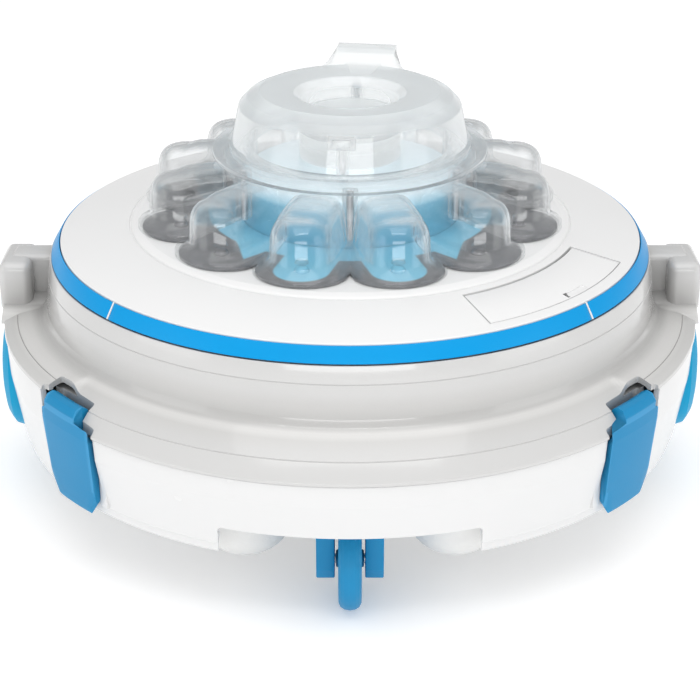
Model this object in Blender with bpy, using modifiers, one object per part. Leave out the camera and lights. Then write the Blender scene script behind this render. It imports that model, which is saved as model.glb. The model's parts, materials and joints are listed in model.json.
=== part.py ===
"""Cordless robotic pool cleaner: round two-part hull, clear light crown and
clear outlet cap, side latches, side wheels, front caster, hidden drive wheels.

The origin is on the hull's vertical axis at floor level and +Z is up.  The
front of the machine faces -Y; left (-X) and right (+X) are as seen by someone
standing in front of it.  Azimuths are in degrees: 0 is the front, 90 is +X.
The scene is in metres; dimensions here are in millimetres, multiplied by MM.
"""
import bpy
import bmesh
import numpy as np
from math import sin, cos, radians, pi, sqrt, hypot
from mathutils import Vector, Matrix

MM = 0.001
SIDES = ((-1, "left"), (1, "right"))
HULL_FACETS = 48
FIT = 0.35                         # radial clearance of a bore round its pin

# ------------------------------------------------------------ upper hull
HULL_R = 197.9                     # widest radius of the upper shell's flange
SPLIT_FRONT_Z = 92.6               # underside of the flange, front and rear
SPLIT_SIDE_Z = 105.0               # underside of the flange over the side wheels
RING_IN_R, RING_IN_Z = 163.9, 153.9
RING_OUT_R, RING_OUT_Z = 168.9, 145.3
DECK_IN_R, DECK_IN_Z = 125.2, 160.6
DECK_OUT_R, DECK_OUT_Z = 163.4, 153.9
DECK_T = 2.6
FLAP_AZ, FLAP_HALF = 47.4, 20.7    # centre azimuth and half angle
FLAP_IN_R, FLAP_OUT_R, FLAP_T = 130.2, 156.8, 2.3
FLAP_GAP = 0.35                    # degrees at each end of the flap

# Azimuths between which an edge steps up from its front to its side height
COVER_STEP = (49.5, 51.5)          # the flange's, behind a latch
TRAY_STEP = (55.8, 56.3)           # the tray wall's, just outside the latch

# ------------------------------------------------------------ lower tray
LIP_Z = 44.7                       # lowest edge of the skirt
FLOOR_Z, FLOOR_T = 47.8, 3.0
NOTCH_X, NOTCH_Z = 66.7, 61.0      # half width and top of the skirt's caster opening
WELL_X = 80.6                      # half width of the well behind it
FRONT_CUT_H = 41.0                 # height of the cutters for both

# ------------------------------------------------------- clips and wheels
CLIPS = (("front_left", -48.5), ("front_right", 48.5),
         ("rear_right", 131.5), ("rear_left", -131.5))
CLIP_W = 42.6
CLIP_PIVOT_R, CLIP_PIVOT_Z = 190.2, 97.4
CLIP_PIN_R, PIN_FACETS = 1.1, 12
SIDE_WHEEL_Z, SIDE_WHEEL_R = 71.8, 39.9
SIDE_AXLE_R = 4.0
WHEEL_HOUSING_R = 45.4             # outside of the hood above and the cup below
DRIVE_X, DRIVE_Y, DRIVE_R, DRIVE_W = 128.0, 45.0, 32.0, 20.0
DRIVE_HUB_R = 24.0
CASTER_Y, CASTER_SWIVEL_Y, CASTER_R = -154.0, -160.0, 27.1
CASTER_AXLE_R = 2.6

# ----------------------------------------------------------- light crown
PETALS = 12
PETAL_PITCH = 360.0 / PETALS
CROWN_R = 71.3                     # radius at which the domes end inwards
CROWN_FOOT_Z, CROWN_RIM_Z, CROWN_TOP_Z = 163.1, 166.0, 201.6
BULB_W, BULB_XC, BULB_BASE_Z = 16.8, 97.2, 172.6   # half width, end centre, base
BULB_MIN_R = 76.0                  # least radius of a dome's edge
BULB_POWER = 2.3                   # superellipse exponent of the dome's section

# --------------------------------------------------------------- colours
WHITE = (0.88, 0.88, 0.88)
BLUE = (0.02, 0.38, 0.88)
CLIP_BLUE = (0.055, 0.315, 0.60)
WHEEL_BLUE = (0.0, 0.30, 0.50)
DRUM_BLUE = (0.13, 0.42, 0.58)
WRAP_BLUE = (0.05, 0.12, 0.35)
CLEAR = (0.92, 0.95, 0.95)
MESH_GREY = (0.75, 0.78, 0.8)
GREY = (0.62, 0.62, 0.61)
DARK = (0.12, 0.12, 0.13)
STEEL = (0.6, 0.6, 0.62)
BLACK = (0.03, 0.03, 0.03)


# ================================================================= scene
for old in list(bpy.data.objects):
    bpy.data.objects.remove(old, do_unlink=True)
PARTS = bpy.data.collections.new("robotic_pool_cleaner")
CUTS = bpy.data.collections.new("cutters")
bpy.context.scene.collection.children.link(PARTS)
bpy.context.scene.collection.children.link(CUTS)


# ============================================================= materials
def material(name, color, roughness, metallic=0.0, alpha=1.0):
    mat = bpy.data.materials.new(name)
    mat.use_nodes = True
    inputs = mat.node_tree.nodes["Principled BSDF"].inputs
    inputs["Base Color"].default_value = (*color, 1.0)
    inputs["Roughness"].default_value = roughness
    inputs["Metallic"].default_value = metallic
    inputs["Alpha"].default_value = alpha
    return mat


def steel(name, roughness=0.3):
    return material(name, STEEL, roughness, metallic=1.0)


def clear_plastic(name):
    return material(name, CLEAR, roughness=0.05, alpha=0.35)


# ========================================================= shape helpers
# In every helper, a shape given no material is a boolean helper: it goes to
# the cutters collection and is hidden from renders.
def add_object(name, mesh, mat):
    ob = bpy.data.objects.new(name, mesh)
    mesh.name = name
    if mat is None:
        CUTS.objects.link(ob)
        ob.hide_render = True
        ob.display_type = 'WIRE'
    else:
        PARTS.objects.link(ob)
        mesh.materials.append(mat)
    return ob


def bmesh_object(name, bm, mat, recalc=True):
    if recalc:
        bmesh.ops.recalc_face_normals(bm, faces=bm.faces[:])
    mesh = bpy.data.meshes.new(name)
    bm.to_mesh(mesh)
    bm.free()
    return add_object(name, mesh, mat)


def polar(az, r, z=0.0):
    """Point in metres at an azimuth, radius and height."""
    a = radians(az)
    return Vector((r * sin(a) * MM, -r * cos(a) * MM, z * MM))


def polar_mm(az, r, z=0.0):
    return polar(az, r, z) / MM


def lathe(name, profile, facets, mat=None, at=(0, 0, 0), rot=(0, 0, 0)):
    """Turned solid from (r, z) points; a profile that ends on the axis stays open."""
    count = len(profile)
    edges = [(i, i + 1) for i in range(count - 1)]
    if profile[0][0] != 0:
        edges.append((count - 1, 0))
    mesh = bpy.data.meshes.new(name)
    mesh.from_pydata([(r * MM, 0, z * MM) for r, z in profile], edges, [])
    ob = add_object(name, mesh, mat)
    turn = ob.modifiers.new("turn", 'SCREW')
    turn.angle = 2 * pi
    turn.steps = facets
    turn.render_steps = facets
    turn.use_merge_vertices = True
    turn.merge_threshold = 0.00001
    turn.use_smooth_shade = True
    ob.location = [c * MM for c in at]
    ob.rotation_euler = rot
    return ob


def box(name, size, at, mat=None, az=90.0, bevel=0.0):
    """Box whose local X axis points along azimuth az."""
    bm = bmesh.new()
    bmesh.ops.create_cube(bm, size=1.0)
    bmesh.ops.scale(bm, vec=[s * MM for s in size], verts=bm.verts[:])
    ob = bmesh_object(name, bm, mat)
    ob.location = [c * MM for c in at]
    ob.rotation_euler = (0, 0, radians(az - 90))
    if bevel:
        edge = ob.modifiers.new("edge", 'BEVEL')
        edge.width = bevel * MM
        edge.segments = 1
        edge.limit_method = 'ANGLE'
    return ob


def rod(name, radius, length, at, facets, mat=None, along_x=False):
    """Cylinder centred on a point, upright or along X."""
    bm = bmesh.new()
    bmesh.ops.create_cone(bm, cap_ends=True, segments=facets, radius1=radius * MM,
                          radius2=radius * MM, depth=length * MM)
    ob = bmesh_object(name, bm, mat)
    ob.location = [c * MM for c in at]
    if along_x:
        ob.rotation_euler = (0, radians(90), 0)
    return ob


def flat(name, outline, z0, z1, mat=None):
    """Outline in the X-Y plane, filled and extruded from z0 to z1."""
    curve = bpy.data.curves.new(name, 'CURVE')
    curve.dimensions = '2D'
    curve.fill_mode = 'BOTH'
    curve.extrude = (z1 - z0) * 0.5 * MM
    spline = curve.splines.new('POLY')
    spline.points.add(len(outline) - 1)
    for point, (x, y) in zip(spline.points, outline):
        point.co = (x * MM, y * MM, 0, 1)
    spline.use_cyclic_u = True
    source = bpy.data.objects.new(name + "_outline", curve)
    bpy.context.scene.collection.objects.link(source)
    bpy.context.view_layer.update()
    evaluated = source.evaluated_get(bpy.context.evaluated_depsgraph_get())
    mesh = bpy.data.meshes.new_from_object(evaluated)
    bpy.data.objects.remove(source, do_unlink=True)
    # weld the caps to the sides
    bm = bmesh.new()
    bm.from_mesh(mesh)
    bmesh.ops.remove_doubles(bm, verts=bm.verts[:], dist=0.000002)
    bmesh.ops.recalc_face_normals(bm, faces=bm.faces[:])
    bm.to_mesh(mesh)
    bm.free()
    ob = add_object(name, mesh, mat)
    ob.matrix_world = Matrix.Translation((0, 0, (z0 + z1) * 0.5 * MM))
    return ob


def side_flat(name, outline, width, az=0.0, center=(0, 0, 0), mat=None):
    """Outline in (radial, z), extruded 'width' along the tangent at azimuth az."""
    ob = flat(name, outline, -width * 0.5, width * 0.5, mat)
    a = radians(az)
    radial = Vector((sin(a), -cos(a), 0))
    up = Vector((0, 0, 1))
    placed = Matrix((radial, up, radial.cross(up))).transposed().to_4x4()
    placed.translation = Vector(center) * MM
    ob.matrix_world = placed
    return ob


def clip_pivot(az):
    return polar_mm(az, CLIP_PIVOT_R, CLIP_PIVOT_Z)


def pivot_rod(name, radius, length, az, mat=None):
    """Pin or bore on the pivot line of the clip at azimuth az."""
    turns = [2 * pi * k / PIN_FACETS for k in range(PIN_FACETS)]
    circle = [(radius * cos(t), radius * sin(t)) for t in turns]
    return side_flat(name, circle, length, az, clip_pivot(az), mat)


def loft(name, sections, mat=None, closed_round=True):
    """Skin over matching closed sections, in a ring or capped at both ends."""
    bm = bmesh.new()
    rows = [[bm.verts.new(p) for p in section] for section in sections]
    count = len(rows[0])
    spans = len(rows) if closed_round else len(rows) - 1
    for j in range(spans):
        this, after = rows[j], rows[(j + 1) % len(rows)]
        for i in range(count):
            k = (i + 1) % count
            bm.faces.new((this[i], this[k], after[k], after[i]))
    if not closed_round:
        bm.faces.new(rows[0])
        bm.faces.new(rows[-1])
    return bmesh_object(name, bm, mat)


def side_amount(az, step):
    """0 at the front and rear, 1 over the side wheels, eased between."""
    turn = abs(((az + 180) % 360) - 180)
    turn = min(turn, 180 - turn)
    low, high = step
    t = max(0.0, min(1.0, (turn - low) / (high - low)))
    return t * t * (3 - 2 * t)


def ring_solid(name, front, side, step, mat):
    """Full ring blending from its front profile to its side profile."""
    turns = [360.0 * j / HULL_FACETS for j in range(HULL_FACETS)]
    turns += [base + sign * q for base in (0.0, 180.0) for sign in (-1, 1) for q in step]
    sections = []
    for az in sorted(t % 360.0 for t in turns):
        t = side_amount(az, step)
        sections.append([polar(az, r0 + (r1 - r0) * t, z0 + (z1 - z0) * t)
                         for (r0, z0), (r1, z1) in zip(front, side)])
    return loft(name, sections, mat)


def arc_solid(name, profile, start, end, steps, mat):
    """Profile of (r, z) points swept between two azimuths."""
    sections = [[polar(start + (end - start) * j / steps, r, z) for r, z in profile]
                for j in range(steps + 1)]
    return loft(name, sections, mat, closed_round=False)


def sector(r0, r1, start, end, steps=8):
    """Outline in (x, y) of a ring sector."""
    outer = [polar_mm(start + (end - start) * k / steps, r1) for k in range(steps + 1)]
    inner = [polar_mm(end + (start - end) * k / steps, r0) for k in range(steps + 1)]
    return [(p.x, p.y) for p in outer + inner]


def boolean(ob, other, operation):
    mod = ob.modifiers.new(operation.lower(), 'BOOLEAN')
    mod.operation = operation
    mod.solver = 'EXACT'
    mod.object = other


def cut(ob, cutter):
    boolean(ob, cutter, 'DIFFERENCE')


def join(ob, addition):
    boolean(ob, addition, 'UNION')


def trim_to(ob, envelope):
    boolean(ob, envelope, 'INTERSECT')


# ============================================================ upper hull
# Shell section, (r, z): down the outside, round the flange, up the inside
SHELL_OUTER = [(163.4, 150.8), (163.4, 149.2), (166.7, 143.8), (169.4, 144.9),
               (171.2, 135.1), (172.0, 124.0), (172.8, 118.0), (174.8, 114.4)]
FLANGE_FRONT = [(178.0, 111.9), (189.8, 102.5), (197.6, 94.4), (HULL_R, SPLIT_FRONT_Z),
                (191.5, SPLIT_FRONT_Z), (191.3, 95.0), (187.0, 100.6), (175.0, 109.0)]
FLANGE_SIDE = [(178.0, 112.6), (190.0, 110.0), (197.6, 107.2), (HULL_R, SPLIT_SIDE_Z),
               (192.5, SPLIT_SIDE_Z), (191.8, 106.4), (187.0, 107.4), (175.0, 109.6)]
SHELL_INNER = [(169.6, 118.5), (168.8, 134.5), (161.0, 147.4), (156.0, 148.2),
               (156.0, 150.8)]


def build_upper_shell():
    shell = ring_solid("upper_shell", SHELL_OUTER + FLANGE_FRONT + SHELL_INNER,
                       SHELL_OUTER + FLANGE_SIDE + SHELL_INNER, COVER_STEP,
                       material("white_shell", WHITE, roughness=0.22))
    for s, _ in SIDES:
        join(shell, box(f"ear_{s}", (29.0, 23.0, 33.0), (s * 184.9, 0, 120.6), bevel=3.0))
        hood = rod(f"wheel_hood_{s}", WHEEL_HOUSING_R, 24.0, (s * 185.2, 0, SIDE_WHEEL_Z),
                   facets=32, along_x=True)
        cut(hood, box(f"hood_trim_{s}", (60.0, 120.0, 80.0), (s * 185.0, 0, 66.2)))
        join(shell, hood)
    for s, _ in SIDES:
        cut(shell, rod(f"arch_{s}", 42.2, 36.0, (s * 196.6, 0, SIDE_WHEEL_Z),
                       facets=32, along_x=True))
    for i, (_, az) in enumerate(CLIPS):
        cut(shell, box(f"clip_notch_{i}", (24.0, CLIP_W + 2.6, 34.0),
                       polar_mm(az, 198.5, 97.0), az=az))
        cut(shell, pivot_rod(f"shell_bore_{i}", CLIP_PIN_R + FIT, CLIP_W + 9.0, az))


def build_top_deck():
    """Sloping deck, with the raised seat for the light crown moulded in."""
    profile = [(DECK_IN_R, DECK_IN_Z), (DECK_OUT_R, DECK_OUT_Z),
               (DECK_OUT_R, DECK_OUT_Z - DECK_T), (DECK_IN_R, DECK_IN_Z - DECK_T)]
    deck = lathe("top_deck", profile, HULL_FACETS,
                 material("white_deck", WHITE, roughness=0.22))
    half = FLAP_HALF + FLAP_GAP
    cut(deck, flat("flap_opening", sector(128.7, 157.5, FLAP_AZ - half, FLAP_AZ + half),
                   140, 175))
    seat = [(66.0, 162.4), (121.2, 162.6), (124.7, 160.9), (125.9, 160.2),
            (125.9, 157.9), (121.0, 159.8), (66.0, 159.6)]
    join(deck, lathe("crown_seat", seat, HULL_FACETS))


def build_trim_rings():
    profile = [(RING_IN_R, RING_IN_Z), (RING_OUT_R, RING_OUT_Z), (166.9, 144.4),
               (RING_IN_R, 149.6)]
    arcs = (("front", -47.6, 47.6), ("right", 48.2, 131.8),
            ("rear", 132.4, 227.6), ("left", 228.2, 311.8))
    for place, start, end in arcs:
        name = "trim_ring_" + place
        arc_solid(name, profile, start, end, 18,
                  material("blue_" + name, BLUE, roughness=0.25))


def deck_z(r):
    slope = (DECK_OUT_Z - DECK_IN_Z) / (DECK_OUT_R - DECK_IN_R)
    return DECK_IN_Z + (r - DECK_IN_R) * slope


def build_access_flap():
    """Flap flush with the deck, hinged at its inner edge."""
    top_in, top_out = deck_z(FLAP_IN_R), deck_z(FLAP_OUT_R)
    profile = [(FLAP_IN_R, top_in), (FLAP_OUT_R, top_out),
               (FLAP_OUT_R, top_out - FLAP_T), (FLAP_IN_R, top_in - FLAP_T)]
    flap = arc_solid("access_flap", profile, FLAP_AZ - FLAP_HALF, FLAP_AZ + FLAP_HALF, 9,
                     material("white_flap", WHITE, roughness=0.22))
    notch = sector(151.5, 160.0, FLAP_AZ - 1.5, FLAP_AZ + 6.0, steps=3)
    cut(flap, flat("finger_notch", notch, 145, 170))


# =========================================================== light crown
# A petal is one lamp dome; angles inside it are measured from its middle.
PETAL_ANGLES = (-11.0, -6.0, 0.0, 6.0, 11.0, 15.0)
BOARD_ANGLES = (-10.0, 0.0, 10.0, 15.0)
# Radius, and height of a dome's ridge above its base
CREST_R = (CROWN_R, 82.7, 91.2, BULB_XC)
CREST_H = (24.6, 24.3, 23.5, 21.6)
# Scallop ellipse in plan: centre radius, radial and tangential half axes
RIM_CENTER, RIM_RADIAL, RIM_TANGENTIAL = 98.0, 22.6, 25.8
DOME_SAMPLES = 40                  # fine points along a dome before respacing
DOME_POINTS = 6                    # points kept


def petal_middle(k):
    return PETAL_PITCH * (k + 0.5)


def rim_r(angle):
    """Radius of the scalloped rim: where a ray leaves the ellipse."""
    s, c = sin(angle), cos(angle)
    qa = (c / RIM_RADIAL) ** 2 + (s / RIM_TANGENTIAL) ** 2
    qb = -2 * RIM_CENTER * c / RIM_RADIAL ** 2
    qc = (RIM_CENTER / RIM_RADIAL) ** 2 - 1
    return (-qb + sqrt(qb * qb - 4 * qa * qc)) / (2 * qa)


def bulb_r(angle):
    """Outer radius of a dome's plan: straight sides with a round end."""
    s, c = abs(sin(angle)), cos(angle)
    inside = BULB_W ** 2 - (BULB_XC * s) ** 2
    if inside >= 0:
        r = BULB_XC * c + sqrt(inside)
        if r * c >= BULB_XC:
            return r
    # Only rays well off the middle get here, so s is never zero.
    return max(min(BULB_W / s, BULB_XC + BULB_W), BULB_MIN_R)


def dome_z(r, angle):
    x, y = r * cos(angle), abs(r * sin(angle))
    across = y / BULB_W if x <= BULB_XC else sqrt((x - BULB_XC) ** 2 + y * y) / BULB_W
    crest = np.interp(x, CREST_R, CREST_H)
    rise = max(0.0, 1 - min(across, 1.0) ** BULB_POWER) ** (1 / BULB_POWER)
    return BULB_BASE_Z + crest * rise


def respace(points, count):
    """Points at equal distances along a polyline."""
    along = [0.0]
    for p, q in zip(points, points[1:]):
        along.append(along[-1] + hypot(p[0] - q[0], p[1] - q[1]))
    rs, zs = zip(*points)
    stops = [along[-1] * k / (count - 1) for k in range(count)]
    return [(np.interp(t, along, rs), np.interp(t, along, zs)) for t in stops]


def crown_column(angle):
    """(r, z) points up the crown's outer face, from rim to top."""
    rim, bulb = rim_r(angle), bulb_r(angle)
    fine = []
    for k in range(DOME_SAMPLES):
        r = CROWN_R + (bulb - CROWN_R) * cos(pi / 2 * k / (DOME_SAMPLES - 1))
        fine.append((r, dome_z(r, angle)))
    fine.append((CROWN_R, CROWN_TOP_Z))
    return [(rim, CROWN_FOOT_Z), (rim, CROWN_RIM_Z)] + respace(fine, DOME_POINTS)


def build_light_crown():
    bm = bmesh.new()
    columns = []
    for k in range(PETALS):
        for a in PETAL_ANGLES:
            columns.append([bm.verts.new(polar(petal_middle(k) + a, r, z))
                            for r, z in crown_column(radians(a))])
    for here, after in zip(columns, columns[1:] + columns[:1]):
        for i in range(len(here) - 1):
            bm.faces.new((here[i], after[i], after[i + 1], here[i + 1]))
    # The faces already point outwards, and the wall grows in from them.
    crown = bmesh_object("light_crown", bm, clear_plastic("clear_crown"), recalc=False)
    wall = crown.modifiers.new("wall", 'SOLIDIFY')
    wall.thickness = 1.5 * MM
    wall.offset = -1.0
    top = [(54.5, 203.6), (76.7, 202.6), (76.7, 199.6), (54.5, 200.4)]
    join(crown, lathe("crown_top", top, 36))


def build_led_board():
    """Scalloped dark board under the domes, with one lamp for each."""
    outline = []
    for k in range(PETALS):
        for a in BOARD_ANGLES:
            p = polar_mm(petal_middle(k) + a, rim_r(radians(a)) - 2.6)
            outline.append((p.x, p.y))
    board = flat("led_board", outline, CROWN_FOOT_Z, 164.4,
                 material("dark_board", DARK, roughness=0.5))
    cut(board, rod("board_hole", 73.5, 20, (0, 0, 163.5), facets=24))
    for k in range(PETALS):
        join(board, rod(f"lamp_{k}", 5.0, 3.6, polar_mm(petal_middle(k), 97, 165.6), facets=8))


# ================================================================ outlet
def build_outlet_cap():
    profile = [(31.2, 233.0), (49.9, 234.5), (56.5, 231.5), (61.6, 226.4), (66.0, 206.3),
               (67.7, 205.9), (67.7, 203.5), (64.0, 203.6), (59.6, 225.4), (54.9, 229.9),
               (49.6, 232.4), (33.0, 231.0), (29.4, 227.5), (28.6, 212.0),
               (26.8, 212.0), (27.2, 228.2)]
    cap = lathe("outlet_cap", profile, 32, clear_plastic("clear_cap"))
    # hook tab at the back, (r, z): a bent sheet with a turned-down lip
    tab = [(46.0, 232.6), (50.5, 236.6), (56.0, 241.0), (60.0, 242.9), (66.3, 243.3),
           (66.9, 242.6), (66.9, 236.5), (64.6, 236.5), (64.6, 240.9), (60.6, 240.5),
           (57.2, 238.8), (52.4, 234.9), (49.6, 232.0)]
    join(cap, side_flat("hook_tab", tab, 34.0, az=171.0))


def build_outlet_nozzle():
    profile = [(23.6, 222.0), (25.9, 222.0), (25.9, 211.4), (28.3, 211.0), (28.3, 197.2),
               (26.2, 197.2), (26.2, 209.2), (23.6, 210.0)]
    lathe("outlet_nozzle", profile, 32, clear_plastic("clear_nozzle"))


def build_screws():
    profile = [(0, 222.0), (3.0, 222.0), (3.0, 219.6), (1.6, 219.6), (1.6, 204.0), (0, 204.0)]
    for k in range(4):
        name = f"cap_screw_{k + 1}"
        lathe(name, profile, 12, steel("steel_" + name), at=polar_mm(-4 + 90 * k, 55.4))
    for k in range(6):
        name = f"crown_screw_{k + 1}"
        rod(name, 1.7, 36.0, polar_mm(60 * k, 66.6, 181.0), 10, steel("steel_" + name))


def build_outlet_drum():
    profile = [(24.6, 196.6), (26.8, 196.4), (28.6, 193.8), (57.5, 189.6), (62.0, 184.5),
               (62.0, 162.9), (59.8, 162.9), (59.8, 183.8), (56.5, 187.4),
               (27.4, 191.4), (24.6, 193.4)]
    lathe("outlet_drum", profile, 28, material("drum_blue", DRUM_BLUE, roughness=0.35))


def build_impeller_duct():
    profile = [(33.4, 187.6), (35.6, 187.6), (35.6, 136.0), (44.0, 129.2), (42.4, 127.8),
               (33.4, 134.6)]
    lathe("impeller_duct", profile, 24, material("duct_blue", DRUM_BLUE, roughness=0.4))


# ================================================================= clips
# Latch section, (r, z): over the knuckle, down the outside, up the inside
CLIP_PROFILE = [(188.8, 101.2), (189.9, 102.6), (193.0, 104.8), (196.4, 104.2),
                (199.0, 100.8), (199.6, 91.0), (199.9, 60.0), (199.9, 46.5),
                (198.9, 44.9), (197.7, 45.6), (197.4, 56.0), (197.3, 93.2),
                (194.5, 93.7), (190.0, 93.9), (187.6, 96.0), (187.6, 99.6)]


def build_clip(place, az):
    outline = [(r - CLIP_PIVOT_R, z - CLIP_PIVOT_Z) for r, z in CLIP_PROFILE]
    clip = side_flat("clip_" + place, outline, CLIP_W, az, clip_pivot(az),
                     material("blue_clip_" + place, CLIP_BLUE, roughness=0.4))
    cut(clip, pivot_rod("clip_bore_" + place, CLIP_PIN_R + FIT, CLIP_W + 6, az))
    pivot_rod("clip_pin_" + place, CLIP_PIN_R, CLIP_W + 8.0, az, steel("steel_pin_" + place))


# ============================================================ lower tray
# Skirt and floor section, (r, z), shared by the front and side profiles
TRAY_BASE = [(190.7, 50.4), (189.3, 49.8), (189.0, LIP_Z), (185.8, LIP_Z),
             (185.8, FLOOR_Z), (60.0, FLOOR_Z), (60.0, FLOOR_Z + FLOOR_T),
             (185.0, FLOOR_Z + FLOOR_T), (187.8, 54.5)]
TRAY_FRONT = [(196.8, 92.2), (196.0, 80.0)] + TRAY_BASE + [(193.0, 80.0), (193.6, 92.2)]
TRAY_SIDE = [(197.0, 104.6), (196.2, 84.0)] + TRAY_BASE + [(193.2, 84.0), (193.8, 104.6)]
# Space the additions to the tray are trimmed to, (r, z)
TRAY_ENVELOPE = [(0, 104.2), (196.2, 104.2), (195.4, 80.0), (190.1, 50.6), (188.7, 49.9),
                 (188.5, 46.0), (0, 46.0)]


def wheel_disc(name, side, radius, z_range, x_range, facets):
    """Disc round the side wheel's axle, clipped in height, between two x distances."""
    low, high = z_range
    outline = []
    for k in range(facets):
        a = 2 * pi * (k + 0.5) / facets
        z = SIDE_WHEEL_Z + radius * sin(a)
        point = (radius * cos(a), max(low, min(high, z)))
        last = outline[-1] if outline else None
        if last is None or abs(point[0] - last[0]) + abs(point[1] - last[1]) > 1e-6:
            outline.append(point)
    x0, x1 = sorted(side * x for x in x_range)
    disc = flat(name, outline, x0, x1)
    # turn the flat so its x, y, z become y, z, x
    turned = Matrix(((0, 0, 1, 0), (1, 0, 0, 0), (0, 1, 0, 0), (0, 0, 0, 1)))
    disc.matrix_world = turned @ disc.matrix_world
    return disc


def build_lower_tray():
    tray = ring_solid("lower_tray", TRAY_FRONT, TRAY_SIDE, TRAY_STEP,
                      material("white_tray", WHITE, roughness=0.25))
    envelope = lathe("tray_envelope", TRAY_ENVELOPE, HULL_FACETS)
    # solid blocks first, hollowed out below
    for s, _ in SIDES:
        cup = wheel_disc(f"wheel_cup_{s}", s, WHEEL_HOUSING_R, z_range=(48.2, 104.0),
                         x_range=(175.3, 192.5), facets=28)
        trim_to(cup, envelope)
        join(tray, cup)
    well = box("caster_well", (2 * WELL_X + 6.0, 92.0, 15.8), (0, -148.0, 56.1))
    trim_to(well, envelope)
    join(tray, well)
    for s, _ in SIDES:
        join(tray, box(f"drive_well_{s}", (34.0, 76.0, 20.0), (s * DRIVE_X, DRIVE_Y, 60.0)))
    # openings
    for s, _ in SIDES:
        cut(tray, wheel_disc(f"wheel_pocket_{s}", s, 42.4, z_range=(20.0, 125.0),
                             x_range=(178.5, 212.0), facets=32))
    cut_z = NOTCH_Z - FRONT_CUT_H / 2
    cut(tray, box("caster_notch", (2 * NOTCH_X, 120.0, FRONT_CUT_H), (0, -165.0, cut_z)))
    cut(tray, box("pod_well", (2 * WELL_X, 58.0, FRONT_CUT_H), (0, -134.0, cut_z)))
    for s, _ in SIDES:
        cut(tray, box(f"drive_slot_{s}", (28.0, 70.0, 37.0), (s * DRIVE_X, DRIVE_Y, 48.5)))
    for s, _ in SIDES:
        join(tray, rod(f"side_axle_{s}", SIDE_AXLE_R, 21.0, (s * 185.8, 0, SIDE_WHEEL_Z),
                       facets=16, along_x=True))
    cut(tray, rod("swivel_hole", 8.5, 20, (0, CASTER_SWIVEL_Y, 62.0), facets=20))


def build_suction_base():
    """Dished base with two intake slots, each with a rubber flap over it."""
    profile = [(0, 14.2), (52.0, 14.2), (55.8, 47.4), (70.0, 47.4), (70.0, 44.4),
               (58.8, 44.4), (56.6, 13.6), (54.0, 11.4), (0, 11.4)]
    base = lathe("suction_base", profile, 28, material("grey_base", GREY, roughness=0.45))
    intake_y = 24.0
    for s, place in ((-1, "front"), (1, "rear")):
        y = s * intake_y
        cut(base, box(f"intake_{s}", (50.0, 13.0, 12.0), (0, y, 12.0)))
        box("intake_flap_" + place, (54.0, 17.0, 1.2), (0, y, 15.2),
            material("rubber_flap_" + place[0], BLACK, roughness=0.7))


# ================================================================ filter
def build_filter():
    """Top ring, foot ring and six posts round a cylindrical screen."""
    top = [(46.0, 108.0), (98.0, 108.0), (98.0, 105.4), (46.0, 105.4)]
    foot = [(74.0, 53.8), (98.0, 53.8), (98.0, 51.2), (74.0, 51.2)]
    screen = [(91.9, 105.1), (92.5, 105.1), (92.5, 54.1), (91.9, 54.1)]
    frame = lathe("filter_frame", top, 24, material("grey_filter_frame", GREY, roughness=0.5))
    join(frame, lathe("filter_foot", foot, 24))
    for k in range(6):
        az = 60 * k + 30
        join(frame, box(f"post{k}", (4.6, 6.0, 54.0), polar_mm(az, 95.2, 79.6), az=az))
    lathe("filter_screen", screen, 24, material("mesh_screen", MESH_GREY, roughness=0.6))


# ================================================================== pump
def build_motor_housing():
    """Cup for the motor, carried on four arms."""
    profile = [(0, 37.0), (36.8, 37.0), (36.8, 122.0), (40.0, 122.0), (40.0, 34.0), (0, 34.0)]
    housing = lathe("motor_housing", profile, 20,
                    material("black_housing", DARK, roughness=0.5))
    for k in range(4):
        az = 90 * k + 45
        join(housing, box(f"arm{k}", (33.0, 8.0, 2.8), polar_mm(az, 55.0, 52.6), az=az))


def build_motor():
    lid = [(4.5, 126.5), (34.0, 126.5), (40.0, 124.8), (40.0, 122.3), (36.4, 122.3),
           (36.4, 120.5), (4.5, 120.5)]
    motor = [(0, 119.5), (7.0, 119.5), (7.0, 117.5), (26.0, 117.5), (27.0, 116.5),
             (27.0, 60.0), (0, 60.0)]
    lathe("motor_lid", lid, 20, material("black_lid", DARK, roughness=0.5))
    lathe("pump_motor", motor, 28, steel("steel_motor", roughness=0.35))
    rod("pump_shaft", 3.0, 26.4, (0, 0, 133.1), 16, steel("steel_shaft", roughness=0.25))


def build_impeller():
    """Hub with four blades pitched about their radial axes."""
    hub = [(0, 152.0), (5.0, 150.6), (8.0, 147.0), (8.0, 134.0), (3.4, 134.0), (3.4, 146.8),
           (0, 146.8)]
    impeller = lathe("impeller", hub, 20, material("blue_impeller", DRUM_BLUE, roughness=0.35))
    blade_r, blade_z, blade_pitch = 19.0, 140.8, radians(48)
    for k in range(4):
        blade = box(f"blade{k}", (24.6, 1.8, 15.0), (0, 0, 0))
        a = radians(90 * k + 20)
        center = (cos(a) * blade_r * MM, sin(a) * blade_r * MM, blade_z * MM)
        blade.matrix_world = (Matrix.Translation(center) @ Matrix.Rotation(a, 4, 'Z')
                              @ Matrix.Rotation(blade_pitch, 4, 'X'))
        join(impeller, blade)


# ===================================================== power and control
def build_power_boxes():
    box("battery_pack", (92.0, 52.0, 36.0), (0, 137.0, 69.6),
        material("blue_wrap", WRAP_BLUE, roughness=0.4), bevel=2.0)
    box("control_box", (44.0, 60.0, 30.0), (-134.0, -28.5, 66.6),
        material("black_case", DARK, roughness=0.5), bevel=1.5)


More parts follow.
